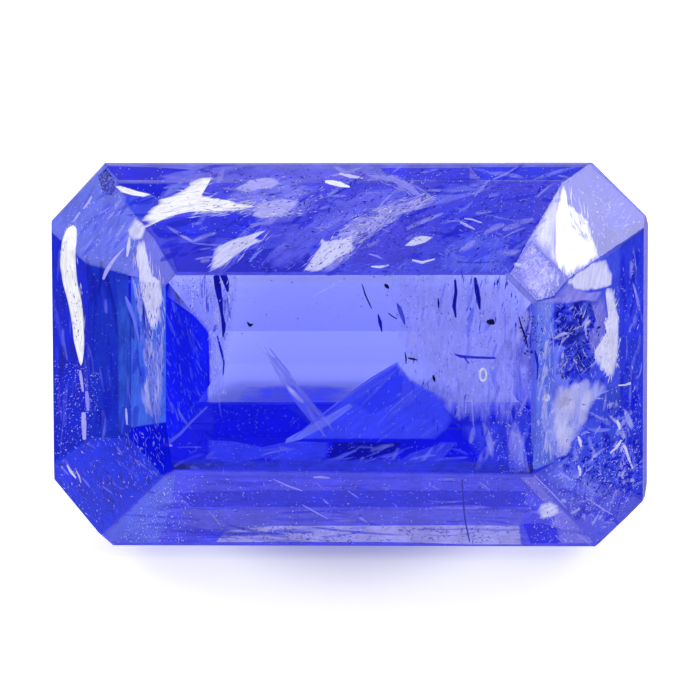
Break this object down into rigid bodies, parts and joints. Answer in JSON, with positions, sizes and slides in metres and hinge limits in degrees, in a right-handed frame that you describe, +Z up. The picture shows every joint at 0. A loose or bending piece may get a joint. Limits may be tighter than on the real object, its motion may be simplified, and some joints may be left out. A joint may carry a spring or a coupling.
{
  "type": "faceted step-cut tanzanite gemstone",
  "caption": "Octagonal step-cut tanzanite, clear violet blue with many inclusions, lying on a long back facet with its table tilted up.",
  "frame": {"origin": "on the surface the stone lies on, under the middle of its bounding box", "axes": "+X along the stone's length, +Z up, the table facing -Y and up"},
  "size_m": [0.016, 0.0084, 0.0081],
  "materials": {
    "gem": "clear violet blue crystal, polished facets, fine ground girdle"
  },
  "bodies": {
    "root": {"tanzanite": "gem"}
  },
  "joints": []
}
